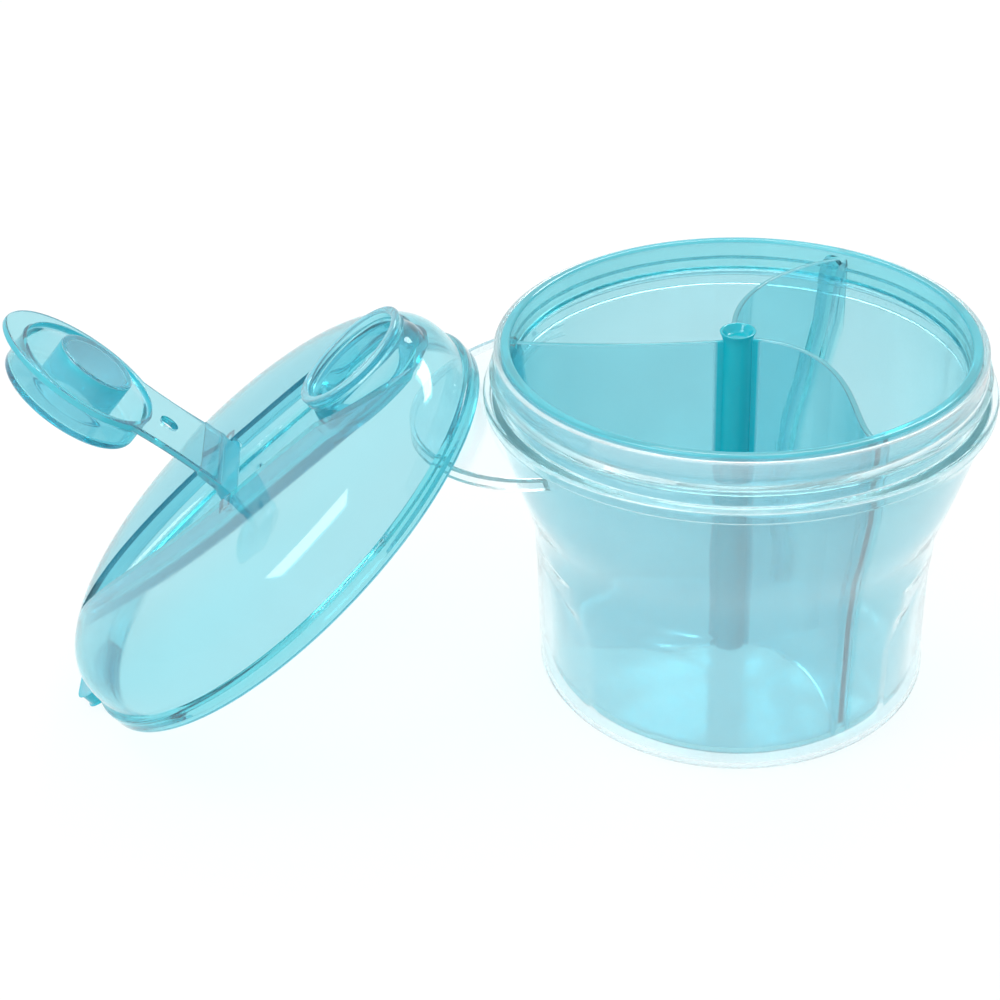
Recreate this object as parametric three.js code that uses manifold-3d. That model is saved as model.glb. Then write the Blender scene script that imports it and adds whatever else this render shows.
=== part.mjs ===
// A formula dispenser: a clear outer cup, a teal inner cup with a three-blade divider,
// and a domed lid with a spout and a hinged flip cap, lying open beside the cup.
// Millimetres, +Z up. The origin is the centre of the outer cup's flat underside.

import * as THREE from 'three';
import { mergeVertices } from 'three/addons/utils/BufferGeometryUtils.js';
import Module from 'manifold-3d';

const wasm = await Module();
wasm.setup();

// ---- driving dimensions ----

const SEGMENTS = 48;
const LID_SEGMENTS = 60;
const FIT = 0.35; // running gap between pieces that nest

// outer cup
const CUP_HEIGHT = 86.5;
const CUP_RIM_R = 53.5;
const CUP_BASE_R = 41;
const CUP_BODY_R = 46;
const CUP_WALL = 1.3;
const WAIST_Z = 40;
const FLANGE_TOP = 76.7;
const FLANGE_BOTTOM = 74;
const FLANGE_R = 56.3;
const BEAD_R = 55;
const BEAD_Z = 80.5;
const LEDGE_Z = 79;
const FACETS = 8;
const FACET_DEPTH = 1.1;
const FACET_TURN_DEG = 16.5;

// the cup's lift ear, a round tab that grows out under the flange and droops outwards
const EAR_AZIMUTH_DEG = 174.7;
const EAR_CENTRE = 37.5;
const EAR_R = 36.3;
const EAR_TOP = 73.1;
const EAR_DROOP = 0.19;
const EAR_THICK = 1.6;
const EAR_LIP = 3;

// inner cup and divider
const INNER_TOP = 87.2;
const INNER_RIM_R = 52;
const INNER_FLOOR = 3.4;
const INNER_FLOOR_R = 41.4;
const INNER_WALL = 1.1;
const POST_R = 3.2;
const BLADE = 1.2;
const BLADE_REACH = INNER_RIM_R - 2;
const BLADE_TOP = 85.8;
const RIB = 1.2;
const RIB_REACH = 2.2;
// each blade's azimuth at the wall, and how far it sweeps round on its way in to the post
const BLADES = [
  { end: 174, sweep: 8, power: 1 },
  { end: 51, sweep: 42, power: 0.9 },
  { end: -66, sweep: 72, power: 1.7 },
];

// lid, in its own frame: rim plane at z = 0, dome up, spout along +X
const LID_R = 59.3;
const LID_WALL = 1.5;
const SKIRT = 4.5;
const DOME_R = 58.2;
const DOME_RISE = 16.5;
const SNAP_R = 55.3;
const SNAP_GAP = 60; // the free width between the snap ribs, at the spout, the tab and the two sides
const TROUGH_FLOOR = 14.5;
const TROUGH_TIP = -51;
const TROUGH_HALF_WIDTH = 14.9;
const SPOUT_X = 40;
const SPOUT_R = 14.6;
const SPOUT_BORE_R = 12.6;
const SPOUT_HOLE_R = 9.5;
const SPOUT_TOP = 23;
const DECK_R = 19.4; // the low step round the spout
const TAB_WIDTH = 19;
const TAB_REACH = 6.5;
const TAB_THICK = 3.6;

// flip cap, in the lid's frame while it is closed
const HINGE_Z = 18.8;
const PIN_R = 1.4;
const ARM_HALF_WIDTH = 13;
const PLATE = 1.6;
const PLATE_Z = 16.4;
const CROWN_R = 16.6;
const CROWN_WALL = 1.4;
const CROWN_TOP = 25.4;
const PLUG_R = 9.1;
const PLUG_LOW = 13.4;
const OPEN_ANGLE = THREE.MathUtils.degToRad(100);

// where the lid lies: rim centre, lean from upright, heading of the lean and turn about its own axis
const LID_PLACE = new THREE.Vector3(-103.8, 5.5, 40.1);
const LID_LEAN = THREE.MathUtils.degToRad(-37.4);
const LID_HEADING = THREE.MathUtils.degToRad(-1.4);
const LID_TURN = THREE.MathUtils.degToRad(7.7);

// ---- helpers ----

function solid(geometry) {
  const bare = geometry.index ? geometry.toNonIndexed() : geometry.clone();
  bare.deleteAttribute('normal');
  bare.deleteAttribute('uv');
  const merged = mergeVertices(bare, 1e-4);
  return new wasm.Manifold(
    new wasm.Mesh({
      numProp: 3,
      vertProperties: new Float32Array(merged.attributes.position.array),
      triVerts: new Uint32Array(merged.index.array),
    }),
  );
}

function geometryOf(manifold) {
  const mesh = manifold.getMesh();
  const geometry = new THREE.BufferGeometry();
  geometry.setAttribute('position', new THREE.BufferAttribute(new Float32Array(mesh.vertProperties), 3));
  geometry.setIndex(new THREE.BufferAttribute(new Uint32Array(mesh.triVerts), 1));
  geometry.computeVertexNormals();
  return geometry;
}

// a profile of [radius, height] points turned about Z; one that stays off the axis closes on itself
function turned(points, segments = SEGMENTS) {
  const closed = points[0][0] > 0 ? [...points, points[0]] : points;
  const profile = closed.map(([r, z]) => new THREE.Vector2(r, z));
  return new THREE.LatheGeometry(profile, segments).rotateX(Math.PI / 2);
}

function disc(radius, low, high, x = 0, segments = SEGMENTS) {
  const points = [[0, low], [radius, low], [radius, high], [0, high]];
  return solid(turned(points, segments).translate(x, 0, 0));
}

function extruded(shape, low, high, curveSegments = 12) {
  const options = { depth: high - low, bevelEnabled: false, curveSegments };
  return solid(new THREE.ExtrudeGeometry(shape, options).translate(0, 0, low));
}

function box(width, depth, height, x, y, z) {
  return solid(new THREE.BoxGeometry(width, depth, height).translate(x, y, z));
}

// a pin of the given radius along Y, centred on (x, z)
function crossPin(radius, low, high, x, z, segments = 24) {
  const pin = new THREE.CylinderGeometry(radius, radius, high - low, segments);
  return solid(pin.translate(x, (low + high) / 2, z));
}

function piece(name, manifold, colour, roughness) {
  const material = new THREE.MeshStandardMaterial({ color: colour, roughness, metalness: 0 });
  const mesh = new THREE.Mesh(geometryOf(manifold), material);
  mesh.name = name;
  return mesh;
}

// a quarter arc of profile points from angle a to angle b about (r, z)
function arc(r, z, radius, a, b, steps = 4) {
  const points = [];
  for (let i = 0; i <= steps; i += 1) {
    const t = THREE.MathUtils.degToRad(a + ((b - a) * i) / steps);
    points.push([r + radius * Math.cos(t), z + radius * Math.sin(t)]);
  }
  return points;
}

// ---- outer cup ----

// soft flats pressed into the lower body, highest in the middle of each facet
function pressFacets(geometry) {
  const position = geometry.attributes.position;
  const pitch = (2 * Math.PI) / FACETS;
  const start = THREE.MathUtils.degToRad(FACET_TURN_DEG);
  for (let i = 0; i < position.count; i += 1) {
    const x = position.getX(i);
    const y = position.getY(i);
    const z = position.getZ(i);
    const radius = Math.hypot(x, y);
    if (radius < CUP_BASE_R) continue;
    const turn = (Math.atan2(y, x) - start) / pitch;
    const across = 2 * Math.abs(turn - Math.round(turn));
    const arch = WAIST_Z - 10 * across * across;
    const up = THREE.MathUtils.smoothstep(z, 3, 10);
    const down = 1 - THREE.MathUtils.smoothstep(z, arch - 8, arch);
    const scale = 1 - (FACET_DEPTH * (1 - across * across) * up * down) / radius;
    position.setXY(i, x * scale, y * scale);
  }
  return geometry;
}

function outerCup() {
  const outside = [
    [0, 0],
    ...arc(CUP_BASE_R, 5, 5, -90, 0),
    [CUP_BODY_R, 12],
    [CUP_BODY_R, 20],
    [CUP_BODY_R, 28],
    [CUP_BODY_R, 34],
    [CUP_BODY_R - 0.2, WAIST_Z],
    [CUP_BODY_R + 0.6, 45],
    [49.5, 54],
    [54.2, 70.5],
    [54.6, FLANGE_BOTTOM],
    [FLANGE_R, FLANGE_BOTTOM],
    [FLANGE_R, FLANGE_TOP - 0.3],
    [FLANGE_R - 0.3, FLANGE_TOP],
    [CUP_RIM_R, FLANGE_TOP],
    [CUP_RIM_R, BEAD_Z - 1.5],
    [BEAD_R, BEAD_Z - 0.3],
    [BEAD_R, BEAD_Z + 0.3],
    [CUP_RIM_R, BEAD_Z + 1.5],
    [CUP_RIM_R, CUP_HEIGHT - 0.5],
    [CUP_RIM_R - 0.5, CUP_HEIGHT],
  ];
  const inner = CUP_BODY_R - CUP_WALL;
  const inside = [
    [INNER_RIM_R + FIT, CUP_HEIGHT],
    [INNER_RIM_R + FIT, LEDGE_Z + 0.2],
    [INNER_RIM_R - 0.9, LEDGE_Z - 0.2],
    [INNER_RIM_R - 0.9, 73],
    [49.6 - CUP_WALL, 54.5],
    [inner + 0.6, 45.5],
    [inner - 0.2, WAIST_Z + 0.5],
    [inner, 34],
    [inner, 28],
    [inner, 20],
    [inner, 12],
    ...arc(CUP_BASE_R, 5, 5 - CUP_WALL, 0, -90),
    [0, CUP_WALL],
  ];
  const cup = solid(pressFacets(turned([...outside, ...inside])));
  return cup.add(ear());
}

// the ear's outline, set in from its edge by an inset and rooted in the cup's wall
function earOutline(inset) {
  const meet = CUP_RIM_R + 0.4;
  const edge = EAR_R - inset;
  const half = Math.acos((meet ** 2 + EAR_CENTRE ** 2 - edge ** 2) / (2 * meet * EAR_CENTRE));
  const outer = Math.PI - Math.acos((EAR_CENTRE ** 2 + edge ** 2 - meet ** 2) / (2 * EAR_CENTRE * edge));
  const shape = new THREE.Shape();
  shape.absarc(EAR_CENTRE, 0, edge, -outer, outer, false);
  shape.absarc(0, 0, meet, half, -half, true);
  return extruded(shape, EAR_TOP - 15, EAR_TOP + 5, 28);
}

// a cone-shaped layer under the ear's top, which falls away from the flange
function earLayer(thick) {
  const root = CUP_RIM_R - 0.5;
  const tip = EAR_CENTRE + EAR_R + 1;
  const fall = EAR_DROOP * (tip - root);
  return solid(
    turned(
      [
        [root, EAR_TOP - thick],
        [tip, EAR_TOP - thick - fall],
        [tip, EAR_TOP - fall],
        [root, EAR_TOP],
      ],
      60,
    ),
  );
}

function ear() {
  const plate = earOutline(0).intersect(earLayer(EAR_THICK));
  const lip = earOutline(0).subtract(earOutline(1.3)).intersect(earLayer(EAR_LIP));
  return plate.add(lip).rotate([0, 0, EAR_AZIMUTH_DEG]);
}

// ---- inner cup and divider ----

// the inner cup's inside wall from floor to ledge, moved in from the wall by an inset
function innerSide(inset) {
  const r = INNER_FLOOR_R - inset;
  return [
    [r, INNER_FLOOR + 4],
    [r + 0.5, WAIST_Z - 2],
    [r + 1.9, WAIST_Z + 6],
    [r + 4.5, WAIST_Z + 14.5],
    [r + 7.3, LEDGE_Z - 9],
    [INNER_RIM_R - 1.6 - INNER_WALL - inset, LEDGE_Z],
  ];
}

function innerCup() {
  const bottom = INNER_FLOOR - INNER_WALL;
  const outside = innerSide(-INNER_WALL).slice(0, -1);
  const cup = solid(
    turned([
      [0, bottom],
      ...arc(INNER_FLOOR_R - 3, bottom + 4, 4, -90, -10, 3),
      ...outside,
      [INNER_RIM_R - 1.6, LEDGE_Z + FIT],
      [INNER_RIM_R, LEDGE_Z + 2 * FIT],
      [INNER_RIM_R, INNER_TOP - 0.6],
      [INNER_RIM_R - 0.6, INNER_TOP],
      [INNER_RIM_R - 1.6, INNER_TOP],
      [INNER_RIM_R - 2.2, INNER_TOP - 0.6],
      [INNER_RIM_R - 2.2, LEDGE_Z + 3],
      ...innerSide(0).reverse(),
      ...arc(INNER_FLOOR_R - 3, INNER_FLOOR + 3, 3, -10, -90, 3),
      [0, INNER_FLOOR],
    ]),
  );
  const bore = solid(
    turned([
      [0, INNER_FLOOR - 0.5],
      [INNER_FLOOR_R - 1, INNER_FLOOR - 0.5],
      ...innerSide(-0.4),
      [INNER_RIM_R - 1.8, LEDGE_Z + 3],
      [INNER_RIM_R - 1.8, INNER_TOP + 2],
      [0, INNER_TOP + 2],
    ]),
  );
  return BLADES.reduce((whole, blade) => whole.add(guideRibs(blade).intersect(bore)), cup);
}

// a pair of ribs that stand in from the wall on both sides of a blade, with chamfered tops
function guideRibs(blade) {
  const channel = solid(
    turned([
      [INNER_RIM_R - 1, INNER_FLOOR - 0.8],
      [INNER_RIM_R - 1, INNER_TOP + 1],
      [INNER_RIM_R - 2, INNER_TOP + 1],
      [INNER_RIM_R - 2.4 - RIB_REACH, INNER_TOP - 4],
      ...innerSide(RIB_REACH).reverse(),
      [INNER_FLOOR_R - RIB_REACH, INNER_FLOOR - 0.8],
    ]),
  );
  const slot = BLADE + 3 * FIT;
  const low = INNER_FLOOR - 0.3;
  const outer = extruded(bladeOutline(blade, INNER_FLOOR_R - 6, slot + 2 * RIB, 4), low, BLADE_TOP, 1);
  const inner = extruded(bladeOutline(blade, INNER_FLOOR_R - 7, slot, 4), low - 1, BLADE_TOP + 1, 1);
  return outer.subtract(inner).intersect(channel);
}

// a point on a blade's centre line, seen from above
function bladePoint({ end, sweep, power }, r) {
  const angle = THREE.MathUtils.degToRad(end + sweep * (1 - Math.min(r / BLADE_REACH, 1)) ** power);
  return new THREE.Vector2(r * Math.cos(angle), r * Math.sin(angle));
}

// a blade seen from above, from a radius out to the wall, at a given thickness
function bladeOutline(blade, from, thickness, steps) {
  const left = [];
  const right = [];
  for (let i = 0; i <= steps; i += 1) {
    const r = THREE.MathUtils.lerp(from, BLADE_REACH, i / steps);
    const centre = bladePoint(blade, r);
    const along = bladePoint(blade, Math.min(r + 0.4, BLADE_REACH)).sub(bladePoint(blade, r - 0.4)).normalize();
    const side = new THREE.Vector2(-along.y, along.x).multiplyScalar(thickness / 2);
    left.push(centre.clone().add(side));
    right.unshift(centre.clone().sub(side));
  }
  return new THREE.Shape([...left, ...right]);
}

function divider() {
  const low = INNER_FLOOR + FIT;
  const reach = solid(
    turned([
      [0, low],
      [INNER_FLOOR_R - 4, low],
      ...innerSide(FIT),
      [INNER_RIM_R - 2.2 - FIT, LEDGE_Z + 3],
      [INNER_RIM_R - 2.2 - FIT, BLADE_TOP - 2],
      [INNER_RIM_R - 4.2, BLADE_TOP],
      [0, BLADE_TOP],
    ]),
  );
  const post = solid(
    turned(
      [
        [0, low],
        [POST_R + 0.4, low],
        [POST_R, INNER_TOP - 0.8],
        [POST_R + 1, INNER_TOP + 0.8],
        [POST_R + 0.5, INNER_TOP + 0.8],
        [POST_R - 0.6, INNER_TOP - 0.6],
        [0, INNER_TOP - 0.6],
      ],
      20,
    ),
  );
  return BLADES.reduce((whole, blade) => {
    const raw = extruded(bladeOutline(blade, POST_R - 0.8, BLADE, 14), low, BLADE_TOP + 1, 1);
    return whole.add(raw.intersect(reach));
  }, post);
}

// ---- lid ----

// the dome's outside, moved in by an offset, as profile points from the skirt's top to the crown
function domeProfile(offset) {
  const points = [];
  const steps = 9;
  for (let i = 0; i <= steps; i += 1) {
    const t = (i / steps) * (Math.PI / 2);
    const r = (DOME_R - offset) * Math.cos(t) ** 0.4;
    const z = SKIRT + (DOME_RISE - offset) * Math.sin(t) ** 0.6;
    points.push([i === steps ? 0 : r, z]);
  }
  return points;
}

// the trough's eye shape: two arcs that meet in a point near the rim and open towards the spout
function troughShape(grow) {
  const half = TROUGH_HALF_WIDTH + grow;
  const tip = TROUGH_TIP - 2.4 * grow;
  const shape = new THREE.Shape();
  shape.moveTo(tip, 0);
  shape.quadraticCurveTo(-24, -half, 2, -half);
  shape.quadraticCurveTo(22, -half, SPOUT_X - 2, -SPOUT_R - 0.6 - grow);
  shape.lineTo(SPOUT_X - 2, SPOUT_R + 0.6 + grow);
  shape.quadraticCurveTo(22, half, 2, half);
  shape.quadraticCurveTo(-24, half, tip, 0);
  return shape;
}

function lid() {
  const skirt = [[0, 0], [LID_R, 0], [LID_R, SKIRT - 0.8], [LID_R - 0.4, SKIRT - 0.2]];
  const outside = solid(turned([...skirt, ...domeProfile(0)], LID_SEGMENTS));
  const hollow = solid(
    turned(
      [
        [0, -1],
        [DOME_R - LID_WALL, -1],
        ...domeProfile(LID_WALL),
      ],
      LID_SEGMENTS,
    ),
  );
  const high = SKIRT + DOME_RISE + 5;
  const trough = extruded(troughShape(0), TROUGH_FLOOR, high, 10);
  const troughSkin = extruded(troughShape(LID_WALL), TROUGH_FLOOR - LID_WALL, high, 10);
  const collar = solid(
    turned([
      [0, TROUGH_FLOOR - LID_WALL],
      [SPOUT_R + 0.9, TROUGH_FLOOR - LID_WALL],
      [SPOUT_R + 0.9, 16.5],
      [SPOUT_R - 0.1, 19.5],
      [SPOUT_R - 0.1, SPOUT_TOP - 1.8],
      [SPOUT_R + 0.2, SPOUT_TOP - 0.9],
      [SPOUT_R - 0.2, SPOUT_TOP],
      [0, SPOUT_TOP],
    ]).translate(SPOUT_X, 0, 0),
  );
  const deck = disc(DECK_R, PLATE_Z - 0.4, high, SPOUT_X);
  const shell = outside.subtract(trough).subtract(deck).subtract(hollow.subtract(troughSkin));
  return shell
    .add(snapRibs())
    .add(spoutDeck(outside))
    .add(collar)
    .add(liftTab().subtract(disc(LID_R - 1, -1, SKIRT + 2)))
    .subtract(disc(SPOUT_BORE_R, TROUGH_FLOOR, high, SPOUT_X))
    .subtract(disc(SPOUT_HOLE_R, -1, high, SPOUT_X))
    .add(box(1.4, 7, 1.2, 5, 0, TROUGH_FLOOR + 0.4))
    .subtract(crossPin(PIN_R + FIT, -LID_R / 3, LID_R / 3, 0, HINGE_Z));
}

// four curved ribs inside the skirt that snap over the cup's bead
function snapRibs() {
  const ring = solid(
    turned(
      [
        [DOME_R - LID_WALL + 0.4, 0.6],
        [DOME_R - LID_WALL, 0.8],
        [SNAP_R, 1.5],
        [SNAP_R, 2.3],
        [DOME_R - LID_WALL, 3],
        [DOME_R - LID_WALL + 0.4, 3.2],
      ],
      LID_SEGMENTS,
    ),
  );
  const gaps = box(2 * LID_R, SNAP_GAP, 8, 0, 0, 2).add(box(SNAP_GAP, 2 * LID_R, 8, 0, 0, 2));
  return ring.subtract(gaps);
}

// the low step round the spout that the flip cap's head comes down on
function spoutDeck(outside) {
  const plate = disc(DECK_R + LID_WALL, PLATE_Z - 0.4 - LID_WALL, PLATE_Z - 0.4, SPOUT_X);
  const rim = disc(DECK_R + LID_WALL, PLATE_Z - 0.6, 40, SPOUT_X).subtract(
    disc(DECK_R, PLATE_Z - 1, 41, SPOUT_X),
  );
  const trough = extruded(troughShape(0), TROUGH_FLOOR - 1, 42, 10);
  return plate.add(rim).intersect(outside).subtract(trough);
}

function liftTab() {
  const shape = new THREE.Shape();
  const tip = -LID_R - TAB_REACH;
  const half = TAB_WIDTH / 2;
  shape.moveTo(-LID_R + 4, -half);
  shape.lineTo(-LID_R + 4, half);
  shape.lineTo(-LID_R - 1, half);
  shape.quadraticCurveTo(tip, half - 1, tip, half - 6);
  shape.lineTo(tip, -half + 6);
  shape.quadraticCurveTo(tip, -half + 1, -LID_R - 1, -half);
  return extruded(shape, 0, TAB_THICK, 6);
}

// ---- flip cap, drawn closed, then turned about its pins ----

function plateShape() {
  const shape = new THREE.Shape();
  const head = CROWN_R + 1.2;
  shape.moveTo(4, -ARM_HALF_WIDTH);
  shape.quadraticCurveTo(16, -ARM_HALF_WIDTH + 2, SPOUT_X - 13, -ARM_HALF_WIDTH + 0.6);
  shape.quadraticCurveTo(SPOUT_X - 7, -head, SPOUT_X + 1, -head);
  shape.bezierCurveTo(SPOUT_X + 12, -head, SPOUT_X + 21, -10, SPOUT_X + 21.5, 0);
  shape.bezierCurveTo(SPOUT_X + 21, 10, SPOUT_X + 12, head, SPOUT_X + 1, head);
  shape.quadraticCurveTo(SPOUT_X - 7, head, SPOUT_X - 13, ARM_HALF_WIDTH - 0.6);
  shape.quadraticCurveTo(16, ARM_HALF_WIDTH - 2, 4, ARM_HALF_WIDTH);
  return shape;
}

// the arm's end bends up from the plate to the pins
function hingeEnd() {
  const side = new THREE.Shape();
  side.moveTo(10, PLATE_Z);
  side.lineTo(10, PLATE_Z + PLATE);
  side.lineTo(4.5, PLATE_Z + PLATE + 0.6);
  side.lineTo(1, HINGE_Z + PIN_R + 0.2);
  side.lineTo(-1.4, HINGE_Z + 0.6);
  side.lineTo(-1.2, HINGE_Z - 1.2);
  side.lineTo(3.2, PLATE_Z + 0.5);
  const options = { depth: 2 * ARM_HALF_WIDTH, bevelEnabled: false };
  const geometry = new THREE.ExtrudeGeometry(side, options);
  return solid(geometry.rotateX(Math.PI / 2).translate(0, ARM_HALF_WIDTH, 0));
}

function flipCap() {
  const head = disc(CROWN_R, PLATE_Z, CROWN_TOP - 1, SPOUT_X).add(
    disc(CROWN_R - 1, PLATE_Z, CROWN_TOP, SPOUT_X),
  );
  const bore = CROWN_R - CROWN_WALL;
  const cavity = solid(
    turned([
      [0, PLATE_Z - 1],
      [bore + 0.9, PLATE_Z - 1],
      [bore + 0.9, PLATE_Z + 0.6],
      [bore, PLATE_Z + 2.6],
      [bore, CROWN_TOP - CROWN_WALL],
      [0, CROWN_TOP - CROWN_WALL],
    ]).translate(SPOUT_X, 0, 0),
  );
  const plug = disc(PLUG_R, PLUG_LOW, CROWN_TOP - 0.5, SPOUT_X, 36);
  const plugBore = disc(PLUG_R - 1.3, PLUG_LOW + 1.4, CROWN_TOP + 1, SPOUT_X, 36);
  return extruded(plateShape(), PLATE_Z, PLATE_Z + PLATE, 10)
    .add(hingeEnd())
    .add(head)
    .subtract(cavity)
    .add(plug)
    .subtract(plugBore)
    .subtract(disc(2.3, PLATE_Z - 1, CROWN_TOP, 19, 20))
    .add(crossPin(PIN_R, -TROUGH_HALF_WIDTH - 1.2, TROUGH_HALF_WIDTH + 1.2, 0, HINGE_Z));
}

// ---- assembly ----

const TEAL = 0x3cc3d6;
const CLEAR = 0xe4f2f4;

const dispenser = new THREE.Group();
dispenser.add(piece('outer_cup', outerCup(), CLEAR, 0.25));
dispenser.add(piece('inner_cup', innerCup(), TEAL, 0.2));
dispenser.add(piece('divider', divider(), TEAL, 0.2));

const lidGroup = new THREE.Group();
lidGroup.position.copy(LID_PLACE);
lidGroup.rotation.set(0, LID_LEAN, LID_HEADING, 'ZYX');
const spun = new THREE.Group();
spun.rotation.z = LID_TURN;
spun.add(piece('lid', lid(), TEAL, 0.2));
lidGroup.add(spun);

const flipGroup = new THREE.Group();
flipGroup.position.set(0, 0, HINGE_Z);
flipGroup.rotation.y = -OPEN_ANGLE;
const cap = piece('flip_cap', flipCap(), TEAL, 0.2);
cap.position.set(0, 0, -HINGE_Z);
flipGroup.add(cap);
spun.add(flipGroup);
dispenser.add(lidGroup);

export default dispenser;
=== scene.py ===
import math

import bmesh
import bpy
from mathutils import Matrix, Vector


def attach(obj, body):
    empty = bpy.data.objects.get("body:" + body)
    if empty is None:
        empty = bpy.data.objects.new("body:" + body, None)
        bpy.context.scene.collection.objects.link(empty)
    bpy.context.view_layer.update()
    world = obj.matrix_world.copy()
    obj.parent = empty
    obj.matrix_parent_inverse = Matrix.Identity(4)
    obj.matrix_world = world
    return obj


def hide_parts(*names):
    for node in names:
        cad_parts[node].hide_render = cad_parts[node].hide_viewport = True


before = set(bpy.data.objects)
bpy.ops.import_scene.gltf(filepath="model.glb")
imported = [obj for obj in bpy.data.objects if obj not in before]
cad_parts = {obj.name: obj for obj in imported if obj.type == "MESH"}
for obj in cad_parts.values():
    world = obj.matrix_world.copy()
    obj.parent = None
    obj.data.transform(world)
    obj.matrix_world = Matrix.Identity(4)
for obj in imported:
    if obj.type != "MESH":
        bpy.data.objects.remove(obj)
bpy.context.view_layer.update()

# Shapes are drawn in millimetres and scaled to metres when a piece is finished. The cups and the
# divider are drawn in the part's frame, the lid and the flip cap in the lid's own.

# ---- dimensions ----

MM = 0.001
SEGMENTS = 192
CUP_SEGMENTS = 256
POST_SEGMENTS = 64
PIN_SEGMENTS = 48
ROUND_STEPS = 5  # steps in a rounded corner
MERGE = 0.005  # points closer than this are joined
SHARP = math.radians(32)  # edges that bend more stay crisp
FIT = 0.35  # gap between pieces

# outer cup
CUP_HEIGHT = 86.5
CUP_RIM_R = 53.5
CUP_BASE_R = 41
CUP_BODY_R = 46
CUP_WALL = 1.3
CUP_ROUND = 5  # radius under the body
WAIST_Z = 40
FLANGE_TOP = 76.7
FLANGE_BOTTOM = 74
FLANGE_R = 56.3
BEAD_R = 55
BEAD_Z = 80.5
LEDGE_Z = 79
FACETS = 8
FACET_DEPTH = 1.1
FACET_ARCH = 10  # how far a facet's top falls towards its sides
FACET_FADE = 8  # height over which a facet fades out at its top
FACET_TURN = math.radians(16.5)
EAR_AZIMUTH = math.radians(174.7)
EAR_CENTRE = 37.5
EAR_R = 36.3
EAR_TOP = 73.1
EAR_DROOP = 0.19
EAR_THICK = 1.6
EAR_LIP = 3
EAR_LIP_WALL = 1.3

# inner cup and divider
INNER_TOP = 87.2
INNER_RIM_R = 52
INNER_RIM_WALL = 2.2
INNER_FLOOR = 3.4
INNER_FLOOR_R = 41.4
INNER_WALL = 1.1
POST_R = 3.2
BLADE = 1.2
BLADE_REACH = INNER_RIM_R - 2
BLADE_TOP = 85.8
BLADE_STEPS = 48
RIB = 1.2
RIB_REACH = 2.2
RIB_STEPS = 12
BLADES = ((174, 8, 1), (51, 42, 0.9), (-66, 72, 1.7))  # azimuth at the wall, sweep, power

# lid
LID_R = 59.3
LID_WALL = 1.5
SKIRT = 4.5
DOME_R = 58.2
DOME_RISE = 16.5
DOME_POWERS = (0.4, 0.6)  # of the dome's curve across and up; 1 would be an ellipse
SNAP_R = 55.3
TROUGH_FLOOR = 14.5
TROUGH_ROUND = 3.4
TROUGH_TAPER = 3.2
TROUGH_TIP = -51
TROUGH_HALF = 14.9
SPOUT_X = 40
SPOUT_R = 14.6
SPOUT_BORE_R = 12.6
SPOUT_HOLE_R = 9.5
SPOUT_TOP = 23
TAB_WIDTH = 19
TAB_REACH = 6.5
TAB_THICK = 3.6
DECK_R = 19.4

# flip cap
HINGE_Z = 18.8
PIN_R = 1.4
ARM_HALF = 13
ARM_HOLE_R = 2.3
ARM_HOLE_X = 19
PLATE = 1.6
PLATE_Z = 16.4
CROWN_R = 16.6
CROWN_WALL = 1.4
CROWN_TOP = 25.4
PLUG_R = 9.1
PLUG_LOW = 13.4
PLUG_WALL = 1.3
DECK_Z = PLATE_Z - 0.4
OPEN = 100  # degrees the flip cap stands open

LID_FRAME = (
    Matrix.Translation((-103.8, 5.5, 40.1))
    @ Matrix.Rotation(math.radians(-1.4), 4, "Z")
    @ Matrix.Rotation(math.radians(-37.4), 4, "Y")
    @ Matrix.Rotation(math.radians(7.7), 4, "Z")
)
CAP_FRAME = (
    LID_FRAME
    @ Matrix.Translation((0, 0, HINGE_Z))
    @ Matrix.Rotation(math.radians(-OPEN), 4, "Y")
    @ Matrix.Translation((0, 0, -HINGE_Z))
)

# ---- outlines and profiles ----


def arc(r, z, radius, start, end, steps=8):
    """Points on a circle about (r, z) between two angles in degrees."""
    angles = [math.radians(start + (end - start) * i / steps) for i in range(steps + 1)]
    return [(r + radius * math.cos(t), z + radius * math.sin(t)) for t in angles]


def soften(points, radius=0.4, steps=ROUND_STEPS):
    """Rounds a closed profile's corners, all but those on the axis.

    A third number in a point is the radius of its corner.
    """
    out = []
    for i, point in enumerate(points):
        here = Vector(point[:2])
        back = Vector(points[i - 1][:2]) - here
        ahead = Vector(points[(i + 1) % len(points)][:2]) - here
        own = point[2] if len(point) > 2 else radius
        cut = min(own, 0.48 * back.length, 0.48 * ahead.length)
        if here.x == 0 or cut < 0.01:
            out.append(tuple(here))
            continue
        start = here + back.normalized() * cut
        end = here + ahead.normalized() * cut
        for k in range(steps + 1):
            t = k / steps
            out.append(tuple(start * (1 - t) ** 2 + here * 2 * t * (1 - t) + end * t**2))
    return out


def bezier(points, steps=20):
    """Points on a quadratic or cubic Bezier curve, without its first point."""
    out = []
    for i in range(1, steps + 1):
        row = [Vector(p) for p in points]
        while len(row) > 1:
            row = [a.lerp(b, i / steps) for a, b in zip(row, row[1:])]
        out.append(tuple(row[0]))
    return out


def inset(outline, amount):
    """The outline moved in along its corners' normals; it runs anticlockwise."""
    out = []
    for i, point in enumerate(outline):
        here = Vector(point)
        before = (here - Vector(outline[i - 1])).normalized()
        after = (Vector(outline[(i + 1) % len(outline)]) - here).normalized()
        along = (before + after).normalized()
        lean = max(0.5, along.dot(before))
        out.append(tuple(here + Vector((-along.y, along.x)) * amount / lean))
    return out


# ---- solids ----


def solid(bm):
    """A closed mesh as a working object, with its faces turned out."""
    bmesh.ops.remove_doubles(bm, verts=bm.verts, dist=1e-5)
    bmesh.ops.recalc_face_normals(bm, faces=bm.faces)
    mesh = bpy.data.meshes.new("work")
    bm.to_mesh(mesh)
    bm.free()
    obj = bpy.data.objects.new("work", mesh)
    bpy.context.scene.collection.objects.link(obj)
    return obj


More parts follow.
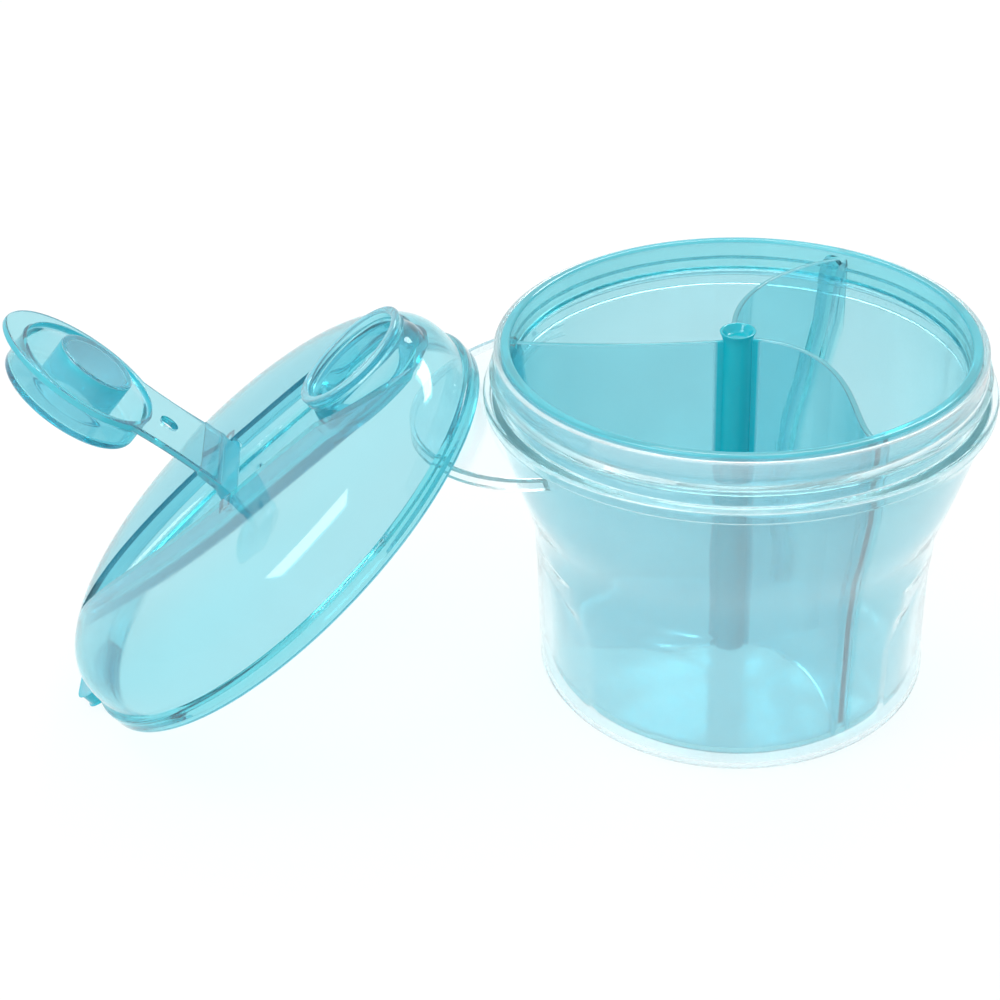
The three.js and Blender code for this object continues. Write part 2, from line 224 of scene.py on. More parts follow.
def turned(profile, x=0, segments=SEGMENTS, press=None):
    """A profile turned about Z. It starts and ends on the axis, or closes on itself."""
    bm = bmesh.new()
    rings = []
    for r, z in profile:
        count = segments if r > 0 else 1
        ring = []
        for k in range(count):
            turn = 2 * math.pi * k / segments
            place = (r * math.cos(turn), r * math.sin(turn), z)
            if press:
                place = press(*place)
            ring.append(bm.verts.new((place[0] + x, place[1], place[2])))
        rings.append(ring)
    pairs = list(zip(rings, rings[1:]))
    if profile[0][0] > 0:
        pairs.append((rings[-1], rings[0]))
    for low, high in pairs:
        if len(low) == 1 and len(high) == 1:
            continue
        for k in range(segments):
            corners = [low[k % len(low)], low[(k + 1) % len(low)]]
            corners += [high[(k + 1) % len(high)], high[k % len(high)]]
            bm.faces.new(list(dict.fromkeys(corners)))
    return solid(bm)


def disc(radius, low, high, x=0, segments=SEGMENTS):
    """An upright cylinder."""
    return turned([(0, low), (radius, low), (radius, high), (0, high)], x, segments)


def prism(outline, low, high, rounding=0):
    """An anticlockwise outline drawn up in Z, with rounded upper and lower edges if wanted."""
    if not rounding:
        return loft(outline, [(0, low), (0, high)])
    turns = (0, math.pi / 6, math.pi / 3, math.pi / 2)
    lower = [(rounding * (1 - math.sin(t)), low + rounding * (1 - math.cos(t))) for t in turns]
    upper = [(move, low + high - z) for move, z in reversed(lower)]
    return loft(outline, lower + upper)


def loft(outline, layers):
    """A closed solid through layers of one outline, each an inset and a height."""
    bm = bmesh.new()
    rings = []
    for move, z in layers:
        points = inset(outline, move) if move else outline
        rings.append([bm.verts.new((p[0], p[1], z)) for p in points])
    count = len(outline)
    for a, b in zip(rings, rings[1:]):
        for k in range(count):
            bm.faces.new((a[k], a[(k + 1) % count], b[(k + 1) % count], b[k]))
    bm.faces.new(reversed(rings[0]))
    bm.faces.new(rings[-1])
    return solid(bm)


def block(width, depth, height, x, y, z, rounding=0):
    """A box about a point, with rounded upper and lower edges if wanted."""
    w, d = width / 2, depth / 2
    outline = [(x - w, y - d), (x + w, y - d), (x + w, y + d), (x - w, y + d)]
    return prism(outline, z - height / 2, z + height / 2, rounding)


def cross_pin(radius, low, high, x, z, rounding=0.3):
    """A pin along Y with rounded ends."""
    profile = soften([(0, low), (radius, low, rounding), (radius, high, rounding), (0, high)])
    pin = turned(profile, 0, PIN_SEGMENTS)
    lay = Matrix.Translation((x, 0, z)) @ Matrix.Rotation(math.radians(-90), 4, "X")
    pin.data.transform(lay)
    return pin


def clean(mesh):
    """Joins points closer than a few micrometres, and drops faces with no area."""
    bm = bmesh.new()
    bm.from_mesh(mesh)
    bmesh.ops.triangulate(bm, faces=[f for f in bm.faces if len(f.verts) > 4])
    bmesh.ops.remove_doubles(bm, verts=bm.verts, dist=MERGE)
    bmesh.ops.dissolve_degenerate(bm, edges=bm.edges, dist=MERGE)
    bm.to_mesh(mesh)
    bm.free()


def combine(base, tool, operation):
    """Joins, cuts or intersects a solid with a tool, which is used up."""
    modifier = base.modifiers.new("join", "BOOLEAN")
    modifier.operation = operation
    modifier.solver = "MANIFOLD"
    modifier.object = tool
    graph = bpy.context.evaluated_depsgraph_get()
    mesh = bpy.data.meshes.new_from_object(base.evaluated_get(graph))
    base.modifiers.clear()
    base.data = mesh
    bpy.data.objects.remove(tool)
    return base


def add(base, *tools):
    for tool in tools:
        combine(base, tool, "UNION")
    return base


def cut(base, *tools):
    for tool in tools:
        combine(base, tool, "DIFFERENCE")
    return base


def common(base, tool):
    return combine(base, tool, "INTERSECT")


# ---- outer cup ----


def smoothstep(value, low, high):
    """0 up to low, 1 from high, and a soft step between them."""
    t = min(max((value - low) / (high - low), 0), 1)
    return t * t * (3 - 2 * t)


def press_facets(x, y, z):
    """Soft flats pressed into the lower body, highest in the middle of each facet."""
    radius = math.hypot(x, y)
    if radius < CUP_BASE_R:
        return x, y, z
    turn = (math.atan2(y, x) - FACET_TURN) / (2 * math.pi / FACETS)
    across = 2 * abs(turn - round(turn))
    arch = WAIST_Z - FACET_ARCH * across**2
    depth = FACET_DEPTH * (1 - across**2) * smoothstep(z, 3, 10)
    depth *= 1 - smoothstep(z, arch - FACET_FADE, arch)
    scale = 1 - depth / radius
    return x * scale, y * scale, z


def climb(r, start, end, steps=16):
    """A straight stretch of wall in small steps, fine enough for the pressed facets."""
    return [(r, start + (end - start) * i / steps) for i in range(steps + 1)]


def outer_cup():
    """The clear cup, its wall turned from the foot up to the rim and down inside, with its ear."""
    inner = CUP_BODY_R - CUP_WALL
    body_top = 34
    upper = soften([
        (CUP_BODY_R, body_top, 0),
        (CUP_BODY_R - 0.2, WAIST_Z, 4),
        (CUP_BODY_R + 0.6, 45, 4),
        (49.5, 54, 6),
        (54.2, 70.5, 4),
        (54.6, FLANGE_BOTTOM, 0.4),
        (FLANGE_R, FLANGE_BOTTOM, 0.5),
        (FLANGE_R, FLANGE_TOP, 0.9),
        (CUP_RIM_R, FLANGE_TOP, 0.5),
        (CUP_RIM_R, BEAD_Z - 1.5, 0.5),
        (BEAD_R, BEAD_Z, 0.9),
        (CUP_RIM_R, BEAD_Z + 1.5, 0.5),
        (CUP_RIM_R, CUP_HEIGHT, 0.5),
        (INNER_RIM_R + FIT, CUP_HEIGHT, 0.4),
        (INNER_RIM_R + FIT, LEDGE_Z + 0.2, 0.3),
        (INNER_RIM_R - 0.9, LEDGE_Z - 0.2, 0.5),
        (INNER_RIM_R - 0.9, 73, 4),
        (49.6 - CUP_WALL, 54.5, 6),
        (inner + 0.6, 45.5, 4),
        (inner - 0.2, WAIST_Z + 0.5, 4),
        (inner, body_top, 0),
    ])
    start, end = CUP_ROUND + 1, body_top - 1
    profile = [(0, 0), *arc(CUP_BASE_R, CUP_ROUND, CUP_ROUND, -90, 0)]
    profile += climb(CUP_BODY_R, start, end)
    profile += upper[1:-1]  # its ends only steer the first and last corners
    profile += climb(inner, end, start)
    profile += [*arc(CUP_BASE_R, CUP_ROUND, CUP_ROUND - CUP_WALL, 0, -90), (0, CUP_WALL)]
    cup = turned(profile, segments=CUP_SEGMENTS, press=press_facets)
    return add(cup, ear())


def ear_outline(move):
    """The ear from above, moved in at its edge: a round tab rooted in the cup's wall."""
    meet = CUP_RIM_R + 0.4
    edge = EAR_R - move
    half = math.acos((meet**2 + EAR_CENTRE**2 - edge**2) / (2 * meet * EAR_CENTRE))
    outer = math.pi - math.acos((EAR_CENTRE**2 + edge**2 - meet**2) / (2 * EAR_CENTRE * edge))
    tip_steps, root_steps = 96, 64
    tip = [(EAR_CENTRE + edge * math.cos(t), edge * math.sin(t))
           for t in (outer * (2 * i / tip_steps - 1) for i in range(tip_steps + 1))]
    root = [(meet * math.cos(t), meet * math.sin(t))
            for t in (half * (1 - 2 * i / root_steps) for i in range(1, root_steps))]
    return tip + root


def ear_layer(thick):
    """A cone-shaped layer under the ear's top, which falls away from the flange."""
    root = CUP_RIM_R - 0.5
    tip = EAR_CENTRE + EAR_R + 1
    fall = EAR_DROOP * (tip - root)
    return turned([
        (root, EAR_TOP - thick),
        (tip, EAR_TOP - thick - fall),
        (tip, EAR_TOP - fall),
        (root, EAR_TOP),
    ])


def ear():
    """The lift ear: a thin plate with a deeper lip along its edge."""
    low, high = EAR_TOP - 15, EAR_TOP + 5
    plate = common(prism(ear_outline(0), low, high), ear_layer(EAR_THICK))
    hollow = prism(ear_outline(EAR_LIP_WALL), low - 1, high + 1)
    lip = cut(prism(ear_outline(0), low, high), hollow)
    tab = add(plate, common(lip, ear_layer(EAR_LIP)))
    tab.data.transform(Matrix.Rotation(EAR_AZIMUTH, 4, "Z"))
    return tab


# ---- inner cup and divider ----


def inner_side(move):
    """The inner cup's inside wall from floor to ledge, moved in, with its corners' radii."""
    r = INNER_FLOOR_R - move
    return [
        (r, INNER_FLOOR + 4, 1),
        (r + 0.5, WAIST_Z - 2, 5),
        (r + 1.9, WAIST_Z + 6, 4),
        (r + 4.5, WAIST_Z + 14.5, 5),
        (r + 7.3, LEDGE_Z - 9, 4),
        (INNER_RIM_R - 1.6 - INNER_WALL - move, LEDGE_Z, 0.8),
    ]


def sharp_side(move):
    """The same wall with its corners left sharp."""
    return [(r, z) for r, z, _ in inner_side(move)]


def inner_cup():
    """The teal cup with its thick rim and a pair of guide ribs for each blade."""
    bottom = INNER_FLOOR - INNER_WALL
    profile = soften([
        (0, bottom),
        (INNER_FLOOR_R + INNER_WALL - 0.1, bottom, 4.5),
        *inner_side(-INNER_WALL)[1:-1],
        (INNER_RIM_R - 1.6, LEDGE_Z + FIT, 0.8),
        (INNER_RIM_R, LEDGE_Z + 2 * FIT, 0.5),
        (INNER_RIM_R, INNER_TOP - 1.5, 0),
        (INNER_RIM_R, INNER_TOP, 0.9),
        (INNER_RIM_R - INNER_RIM_WALL, INNER_TOP, 0.9),
        (INNER_RIM_R - INNER_RIM_WALL, INNER_TOP - 1.5, 0),
        (INNER_RIM_R - INNER_RIM_WALL, LEDGE_Z + 3, 1.5),
        *inner_side(0)[:0:-1],
        (INNER_FLOOR_R - 0.1, INNER_FLOOR, 3.8),
        (0, INNER_FLOOR),
    ])
    cup = turned(profile, segments=CUP_SEGMENTS)
    for blade in BLADES:
        bore = turned([
            (0, INNER_FLOOR - 0.5),
            (INNER_FLOOR_R - 1, INNER_FLOOR - 0.5),
            *sharp_side(-0.4),
            (INNER_RIM_R - 1.8, LEDGE_Z + 3),
            (INNER_RIM_R - 1.8, INNER_TOP + 2),
            (0, INNER_TOP + 2),
        ])
        add(cup, common(guide_ribs(blade), bore))
    return cup


def guide_ribs(blade):
    """A pair of ribs that stand in from the wall on both sides of a blade, with chamfered tops."""
    channel = turned([
        (INNER_RIM_R - 1, INNER_FLOOR - 0.8),
        (INNER_RIM_R - 1, INNER_TOP + 1),
        (INNER_RIM_R - 2, INNER_TOP + 1),
        (INNER_RIM_R - 2.4 - RIB_REACH, INNER_TOP - 4),
        *reversed(sharp_side(RIB_REACH)),
        (INNER_FLOOR_R - RIB_REACH, INNER_FLOOR - 0.8),
    ])
    slot = BLADE + 3 * FIT
    low = INNER_FLOOR - 0.3
    outer = blade_outline(blade, INNER_FLOOR_R - 6, slot + 2 * RIB, RIB_STEPS)
    inner = blade_outline(blade, INNER_FLOOR_R - 7, slot, RIB_STEPS)
    pair = cut(prism(outer, low, BLADE_TOP), prism(inner, low - 1, BLADE_TOP + 1))
    return common(pair, channel)


def blade_point(blade, r):
    """A blade's middle line from above, at a radius."""
    end, sweep, power = blade
    angle = math.radians(end + sweep * (1 - min(r / BLADE_REACH, 1)) ** power)
    return Vector((r * math.cos(angle), r * math.sin(angle)))


def blade_outline(blade, start, thickness, steps):
    """A blade seen from above, from a radius out to the wall."""
    near = 0.4
    left, right = [], []
    for i in range(steps + 1):
        r = start + (BLADE_REACH - start) * i / steps
        along = blade_point(blade, min(r + near, BLADE_REACH)) - blade_point(blade, r - near)
        side = Vector((-along.y, along.x)).normalized() * thickness / 2
        left.append(tuple(blade_point(blade, r) + side))
        right.append(tuple(blade_point(blade, r) - side))
    return right + left[::-1]


def divider():
    """Three curved blades on a round post with a dimple in its top."""
    low = INNER_FLOOR + FIT
    post = turned(soften([
        (0, low),
        (POST_R + 0.4, low, 0.4),
        (POST_R, INNER_TOP - 1.4, 3),
        (POST_R + 0.8, INNER_TOP + 0.8, 0.3),
        (POST_R + 0.2, INNER_TOP + 0.8, 0.3),
        (POST_R - 0.8, INNER_TOP - 0.8, 0.5),
        (0, INNER_TOP - 0.8),
    ]), segments=POST_SEGMENTS)
    for blade in BLADES:
        reach = turned([
            (0, low),
            (INNER_FLOOR_R - 4, low),
            *sharp_side(FIT),
            (INNER_RIM_R - INNER_RIM_WALL - FIT, LEDGE_Z + 3),
            (INNER_RIM_R - INNER_RIM_WALL - FIT, BLADE_TOP - 2),
            (INNER_RIM_R - INNER_RIM_WALL - 2, BLADE_TOP + 1),
            (0, BLADE_TOP + 1),
        ])
        outline = blade_outline(blade, POST_R - 0.8, BLADE, BLADE_STEPS)
        add(post, common(prism(outline, low - 2, BLADE_TOP, 0.4), reach))
    return post


# ---- lid ----


def dome_profile(offset, steps=40):
    """The dome's outside from the skirt's top to the crown, moved in by an offset."""
    across, up = DOME_POWERS
    out = []
    for i in range(steps + 1):
        t = i / steps * math.pi / 2
        r = (DOME_R - offset) * math.cos(t) ** across if i < steps else 0
        out.append((r, SKIRT + (DOME_RISE - offset) * math.sin(t) ** up))
    return out


def trough_outline(grow):
    """Two arcs that meet in a point near the rim and open towards the spout."""
    half = TROUGH_HALF + grow
    tip = (TROUGH_TIP - 2.4 * grow, 0)
    mouth = SPOUT_R + 0.6 + grow
    side = bezier([tip, (-24, -half), (2, -half)], 40)
    side += bezier([(2, -half), (22, -half), (SPOUT_X - 2, -mouth)], 16)
    return [tip] + side + [(x, -y) for x, y in reversed(side)]


def trough(top):
    """The trough's hollow, with walls that curve in towards its floor."""
    steps = 8
    layers = []
    for i in range(steps + 1):
        t = i / steps * math.pi / 2
        height = TROUGH_FLOOR + TROUGH_ROUND * (1 - math.cos(t))
        layers.append((TROUGH_TAPER * (1 - math.sin(t)), height))
    return loft(trough_outline(0), layers + [(0, top)])


def full_dome():
    """The lid's outside as a full solid."""
    skirt = soften([
        (0, 0),
        (LID_R, 0, 0.6),
        (LID_R, SKIRT - 0.4, 1),
        (DOME_R, SKIRT, 0.3),
        (0, SKIRT),
    ])
    # the dome starts at the last corner, so only that corner's first point stays
    return turned(skirt[:-ROUND_STEPS - 1] + dome_profile(0))


def lid():
    """The domed lid: a shell with its trough, spout, snap ribs, lift tab and hinge holes."""
    top = SKIRT + DOME_RISE + 5
    shell = full_dome()
    hollow = turned([(0, -1), (DOME_R - LID_WALL, -1), *dome_profile(LID_WALL)])
    cut(hollow, prism(trough_outline(LID_WALL), TROUGH_FLOOR - LID_WALL, top, 0.8))
    cut(shell, trough(top), disc(DECK_R, DECK_Z, top, SPOUT_X), hollow)
    add(shell, snap_ribs(), spout_deck())
    cut(shell, disc(SPOUT_R - 1, -1, top, SPOUT_X))
    add(shell, collar(), lift_tab())
    catch = block(
        width=1.4, depth=7, height=1.2, x=5, y=0, z=TROUGH_FLOOR + 0.4, rounding=0.3
    )
    bores = cross_pin(PIN_R + FIT, -LID_R / 3, LID_R / 3, 0, HINGE_Z)
    return cut(add(shell, catch), bores)


def collar():
    """The spout: a flared foot, a fine bead, a thick rounded rim and the floor round its hole."""
    return turned(soften([
        (SPOUT_HOLE_R, TROUGH_FLOOR - LID_WALL, 0.5),
        (SPOUT_R + 0.9, TROUGH_FLOOR - LID_WALL, 0.5),
        (SPOUT_R + 0.9, 16.5, 1.5),
        (SPOUT_R - 0.2, 19.3, 1.5),
        (SPOUT_R - 0.2, 20.3, 0.1),
        (SPOUT_R + 0.15, 20.6, 0.1),
        (SPOUT_R - 0.2, 20.9, 0.1),
        (SPOUT_R - 0.1, 21.4, 0.3),
        (SPOUT_R + 0.2, SPOUT_TOP - 0.9, 0.5),
        (SPOUT_R, SPOUT_TOP, 0.8),
        (SPOUT_BORE_R, SPOUT_TOP, 0.9),
        (SPOUT_BORE_R, TROUGH_FLOOR, 1.2),
        (SPOUT_HOLE_R, TROUGH_FLOOR, 0.5),
    ]), SPOUT_X)


def snap_ribs():
    """A fine ring inside the skirt that swells into four ribs, which snap over the cup's bead."""
    root = DOME_R - LID_WALL
    ring = 0.25  # how far the ring stands in between the ribs, as a share of theirs

    def swell(x, y, z):
        radius = math.hypot(x, y)
        offset = abs(math.sin(2 * math.atan2(y, x)))
        share = ring + (1 - ring) * smoothstep(offset, 0.82, 0.97)
        scale = (root + (radius - root) * share) / radius if radius < root else 1
        return x * scale, y * scale, z

    profile = soften([
        (root + 0.4, 0.6, 0.1), (root, 0.8, 0.3), (SNAP_R, 1.5, 0.3),
        (SNAP_R, 2.3, 0.3), (root, 3, 0.3), (root + 0.4, 3.2, 0.1),
    ], 0.3, 3)
    return turned(profile, press=swell)


def spout_deck():
    """The low step round the spout that the flip cap's head comes down on."""
    above = 40
    reach = DECK_R + LID_WALL
    plate = disc(reach, DECK_Z - LID_WALL, DECK_Z, SPOUT_X)
    rim = disc(reach, DECK_Z - 0.2, above, SPOUT_X)
    cut(rim, disc(DECK_R, DECK_Z - 0.6, above + 1, SPOUT_X))
    deck = common(add(plate, rim), full_dome())
    return cut(deck, prism(trough_outline(0), TROUGH_FLOOR - 1, above + 2))


def lift_tab():
    """The tab at the lid's edge, seen from above as a rounded rectangle."""
    tip = -LID_R - TAB_REACH
    half = TAB_WIDTH / 2
    outline = [(-LID_R + 0.9, -half)]
    outline += [(-LID_R + 0.9, half), (-LID_R - 1, half)]
    outline += bezier([(-LID_R - 1, half), (tip, half - 1), (tip, half - 6)], 10)
    outline += [(tip, -half + 6)]
    outline += bezier([(tip, -half + 6), (tip, -half + 1), (-LID_R - 1, -half)], 10)
    return prism(outline[::-1], 0.05, TAB_THICK, 0.5)


# ---- flip cap, drawn closed ----


def plate_outline():
    """The arm and the head from above; the head comes to a blunt thumb tab."""
    head = CROWN_R + 1.2
    x = SPOUT_X
    side = [(4, -ARM_HALF)]
    side += bezier([(4, -ARM_HALF), (16, -ARM_HALF + 2), (x - 13, -ARM_HALF + 0.6)])
    side += bezier([(x - 13, -ARM_HALF + 0.6), (x - 7, -head), (x + 1, -head)])
    side += bezier([(x + 1, -head), (x + 12, -head), (x + 21, -10), (x + 21.5, 0)], 40)
    return side + [(px, -py) for px, py in reversed(side[:-1])]


def hinge_end():
    """The arm's end, which bends up from the plate to the pins."""
    outline = [
        (10, PLATE_Z),
        (10, PLATE_Z + PLATE),
        (4.5, PLATE_Z + PLATE + 0.6),
        (1, HINGE_Z + PIN_R + 0.2),
        (-1.4, HINGE_Z + 0.6),
        (-1.2, HINGE_Z - 1.2),
        (3.2, PLATE_Z + 0.5),
    ]
    end = prism(soften(outline, 0.8), -ARM_HALF, ARM_HALF, 0.3)
    end.data.transform(Matrix.Rotation(math.radians(90), 4, "X"))
    return end


def head_profile():
    """The head's crown, which goes round the spout, and the hollow plug in its middle."""
    bore = CROWN_R - CROWN_WALL
    return soften([
        (0, PLUG_LOW),
        (PLUG_R, PLUG_LOW, 0.8),
        (PLUG_R, CROWN_TOP - CROWN_WALL, 0.8),
        (bore, CROWN_TOP - CROWN_WALL, 1),
        (bore, PLATE_Z + 2.6, 1),
        (bore + 0.9, PLATE_Z + 0.6, 0.4),
        (bore + 0.9, PLATE_Z, 0.2),
        (CROWN_R + 0.5, PLATE_Z, 0.05),
        (CROWN_R + 0.5, PLATE_Z + PLATE, 0.05),
        (CROWN_R, PLATE_Z + PLATE, 0.3),
        (CROWN_R, CROWN_TOP, 1.8),
        (PLUG_R - PLUG_WALL, CROWN_TOP, 0.5),
        (PLUG_R - PLUG_WALL, PLUG_LOW + 1.4, 0.6),
        (0, PLUG_LOW + 1.4),
    ])


def flip_cap():
    """The flip cap, drawn closed on the spout."""
    plate = prism(plate_outline(), PLATE_Z, PLATE_Z + PLATE, 0.45)
    cut(plate, disc(CROWN_R + 0.2, PLATE_Z - 1, PLATE_Z + PLATE + 1, SPOUT_X))
    add(plate, turned(head_profile(), SPOUT_X), hinge_end())
    cut(plate, disc(ARM_HOLE_R, PLATE_Z - 1, CROWN_TOP, ARM_HOLE_X, POST_SEGMENTS))
    reach = TROUGH_HALF + 1.2
    return add(plate, cross_pin(PIN_R, -reach, reach, 0, HINGE_Z))


# ---- materials ----

HAZE = 0.05  # mean roughness
CLOUDED = 0.3  # transmission where a piece is thick


def put(node, **values):
    """Sets a node's own sockets; an underscore in a name stands for a space."""
    for name, value in values.items():
        node.inputs[name.replace("_", " ")].default_value = value


def plastic(name, tint, density, skin, thick, clearness):
    """See-through moulded plastic: clear at the surface, with the colour in its thickness.

    The mesh's thick attribute says where it is seen through much material, at rims and edges.
    """
    material = bpy.data.materials.new(name)
    material.use_nodes = True
    tree = material.node_tree
    nodes, links = tree.nodes, tree.links
    nodes.clear()
    output = nodes.new("ShaderNodeOutputMaterial")
    body = nodes.new("ShaderNodeBsdfPrincipled")
    put(body, IOR=1.49)
    place = nodes.new("ShaderNodeTexCoord")

    def noise(scale, detail):
        node = nodes.new("ShaderNodeTexNoise")
        put(node, Scale=scale, Detail=detail)
        links.new(place.outputs["Object"], node.inputs["Vector"])
        return node

    # the surface's colour wavers a little, and gives way to the deep one where it is thick
    ramp = nodes.new("ShaderNodeValToRGB")
    pale, full = ramp.color_ramp.elements
    pale.position, full.position = 0.35, 0.65
    pale.color = (*[0.97 * c for c in skin], 1)
    full.color = (*skin, 1)
    links.new(noise(38, 2).outputs[0], ramp.inputs["Fac"])
    share = nodes.new("ShaderNodeAttribute")
    share.attribute_name = "thick"
    deepen = nodes.new("ShaderNodeMix")
    deepen.data_type = "RGBA"
    put(deepen, B=(*thick, 1))
    links.new(share.outputs["Fac"], deepen.inputs["Factor"])
    links.new(ramp.outputs["Color"], deepen.inputs["A"])
    links.new(deepen.outputs["Result"], body.inputs["Base Color"])
    cloud = nodes.new("ShaderNodeMapRange")
    put(cloud, To_Min=clearness, To_Max=CLOUDED)
    links.new(share.outputs["Fac"], cloud.inputs["Value"])
    links.new(cloud.outputs[0], body.inputs["Transmission Weight"])

    # fine haze, and the slow waves of a moulded wall
    gloss = nodes.new("ShaderNodeMapRange")
    put(gloss, From_Min=0.3, From_Max=0.7, To_Min=HAZE * 0.6, To_Max=HAZE * 1.4)
    links.new(noise(260, 3).outputs[0], gloss.inputs["Value"])
    links.new(gloss.outputs[0], body.inputs["Roughness"])
    waves = nodes.new("ShaderNodeBump")
    put(waves, Strength=0.12, Distance=0.0006)
    links.new(noise(24, 1).outputs[0], waves.inputs["Height"])
    links.new(waves.outputs["Normal"], body.inputs["Normal"])

    depth = nodes.new("ShaderNodeVolumeAbsorption")
    put(depth, Color=(*tint, 1), Density=density)
    links.new(depth.outputs[0], output.inputs["Volume"])

    # lamps shine through the walls, so that what stands behind them is lit
    rays = nodes.new("ShaderNodeLightPath")
    through = nodes.new("ShaderNodeBsdfTransparent")
    put(through, Color=(0.97, 0.985, 0.99, 1))
    mix = nodes.new("ShaderNodeMixShader")
    links.new(rays.outputs["Is Shadow Ray"], mix.inputs[0])
    links.new(body.outputs[0], mix.inputs[1])
    links.new(through.outputs[0], mix.inputs[2])
    links.new(mix.outputs[0], output.inputs["Surface"])
    return material


CLEAR = plastic(
    "clear_plastic", tint=(0.3, 0.8, 0.84), density=30,
    skin=(0.97, 0.99, 0.997), thick=(0.9, 0.97, 0.985), clearness=0.94,
)
TEAL = plastic(
    "teal_plastic", tint=(0.0, 0.88, 0.91), density=280,
    skin=(0.76, 0.86, 0.9), thick=(0.005, 0.48, 0.57), clearness=0.97,
)
LID_TEAL = plastic(
    "lid_plastic", tint=(0.0, 0.88, 0.91), density=290,
    skin=(0.66, 0.82, 0.88), thick=(0.005, 0.5, 0.6), clearness=0.955,
)

# ---- how thick each piece looks, from 0 to 1, at a place in its own frame ----
# upright is 1 where the surface faces straight up or down, and 0 on a standing wall.


def cup_thickness(x, y, z, upright):
    return 0.3 if z > CUP_HEIGHT - 0.5 else 0


def inner_thickness(x, y, z, upright):
    rim = 0.85 * smoothstep(z, INNER_TOP - 1, INNER_TOP - 0.4)
    base = 0.16 * (1 - smoothstep(z, 5, 9))
    return max(rim, base)


def divider_thickness(x, y, z, upright):
    post = 1 - smoothstep(math.hypot(x, y), POST_R + 1.2, POST_R + 1.6)
    top = 0.8 * smoothstep(z, BLADE_TOP - 0.35, BLADE_TOP - 0.1)
    return max(post, top)


def lid_thickness(x, y, z, upright):
    tab = smoothstep(-x, LID_R + 0.2, LID_R + 1)
    in_trough = x < SPOUT_X - 20 and abs(y) < TROUGH_HALF + 0.3 and z > TROUGH_FLOOR - 0.2
    wall = 0.3 if in_trough and upright < 0.6 else 0
    reach = math.hypot(x - SPOUT_X, y)
    bore = 0.12 if reach < SPOUT_BORE_R + 0.2 and z > DECK_Z - 3 else 0
    rim = 0.35 * smoothstep(z, SPOUT_TOP - 0.8, SPOUT_TOP - 0.2)
    return max(tab, wall, bore, rim)


def cap_thickness(x, y, z, upright):
    edge = 0.85 if upright < 0.5 and z < PLATE_Z + PLATE else 0
    heel = 0.7 * (1 - smoothstep(x, 3, 6))
    plug = 0.1 if math.hypot(x - SPOUT_X, y) < PLUG_R + 0.3 and upright < 0.6 else 0
    return max(edge, heel, plug)


# ---- pieces ----


def finish(name, obj, place, material, node, thickness):
    """Puts a drawn solid in its place in metres, shades it and hands it to the frame."""
    obj.name = name
    mesh = obj.data
    mesh.name = name
    clean(mesh)
    thick = mesh.attributes.new("thick", "FLOAT", "POINT")
    for vertex, value in zip(mesh.vertices, thick.data):
        value.value = thickness(*vertex.co, abs(vertex.normal.z))
    mesh.transform(Matrix.Scale(MM, 4) @ place)
    mesh.polygons.foreach_set("use_smooth", [True] * len(mesh.polygons))
    mesh.set_sharp_from_angle(angle=SHARP)
    mesh.materials.clear()
    mesh.materials.append(material)
    mesh.update()
    weigh = obj.modifiers.new("normals", "WEIGHTED_NORMAL")
    weigh.keep_sharp = True
    weigh.weight = 100
    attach(obj, node)
    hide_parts(node)


HERE = Matrix.Identity(4)
finish("clear_cup", outer_cup(), HERE, CLEAR, "outer_cup", cup_thickness)
finish("teal_cup", inner_cup(), HERE, TEAL, "inner_cup", inner_thickness)
finish("blades", divider(), HERE, TEAL, "divider", divider_thickness)
finish("domed_lid", lid(), LID_FRAME, LID_TEAL, "lid", lid_thickness)
finish("flip_lid", flip_cap(), CAP_FRAME, LID_TEAL, "flip_cap", cap_thickness)

# ---- camera, floor and light ----

scene = bpy.context.scene
scene.view_settings.view_transform = "Standard"
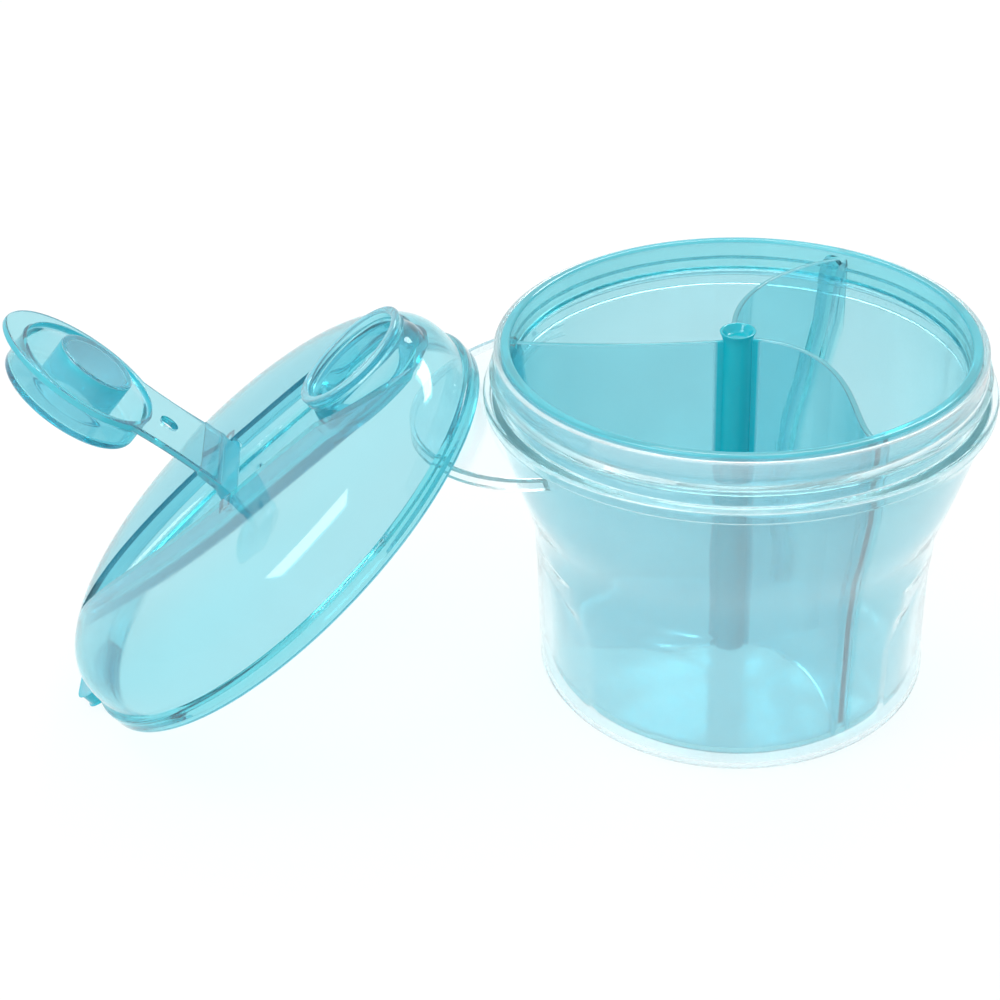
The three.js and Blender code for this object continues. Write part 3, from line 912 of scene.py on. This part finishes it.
# enough bounces for light to cross all the clear walls
scene.cycles.max_bounces = 40
scene.cycles.transmission_bounces = 40
scene.cycles.transparent_max_bounces = 40
scene.cycles.glossy_bounces = 12

camera_data = bpy.data.cameras.new("camera")
camera_data.lens = 61.2
camera_data.sensor_width = 36
camera_data.clip_start = 0.01
camera = bpy.data.objects.new("camera", camera_data)
camera.matrix_world = (
    Matrix.Translation((-0.05383, -0.33093, 0.25769))
    @ Matrix.Rotation(math.radians(57.61), 4, "X")
    @ Matrix.Rotation(math.radians(-3.209), 4, "Z")
)
scene.collection.objects.link(camera)
scene.camera = camera

FLOOR_HALF = 6
FLOOR_Z = -0.0002  # just below the pieces
bm = bmesh.new()
bmesh.ops.create_grid(bm, x_segments=2, y_segments=2, size=FLOOR_HALF)
floor_mesh = bpy.data.meshes.new("floor")
bm.to_mesh(floor_mesh)
bm.free()
floor = bpy.data.objects.new("floor", floor_mesh)
floor.location.z = FLOOR_Z
scene.collection.objects.link(floor)
paper = bpy.data.materials.new("paper")
paper.use_nodes = True
put(
    paper.node_tree.nodes["Principled BSDF"],
    Base_Color=(0.16, 0.16, 0.16, 1),
    Emission_Color=(1, 1, 1, 1),
    Emission_Strength=0.8,
    Roughness=0.9,
    Specular_IOR_Level=0,
)
floor_mesh.materials.append(paper)

world = bpy.data.worlds.new("studio")
world.use_nodes = True
put(world.node_tree.nodes["Background"], Color=(1, 1, 1, 1), Strength=0.92)
scene.world = world


def softbox(name, place, target, width, height, power):
    """A rectangular lamp that faces a target."""
    data = bpy.data.lights.new(name, "AREA")
    data.shape = "RECTANGLE"
    data.size = width
    data.size_y = height
    data.energy = power
    lamp = bpy.data.objects.new(name, data)
    lamp.location = place
    ahead = Vector(target) - Vector(place)
    lamp.rotation_euler = ahead.to_track_quat("-Z", "Y").to_euler()
    scene.collection.objects.link(lamp)


softbox("key", place=(-0.5, -0.3, 0.9), target=(-0.05, 0, 0.04), width=0.45, height=0.6, power=5)
softbox("back", place=(0.35, 0.7, 0.8), target=(0, 0, 0.05), width=0.7, height=0.2, power=4)
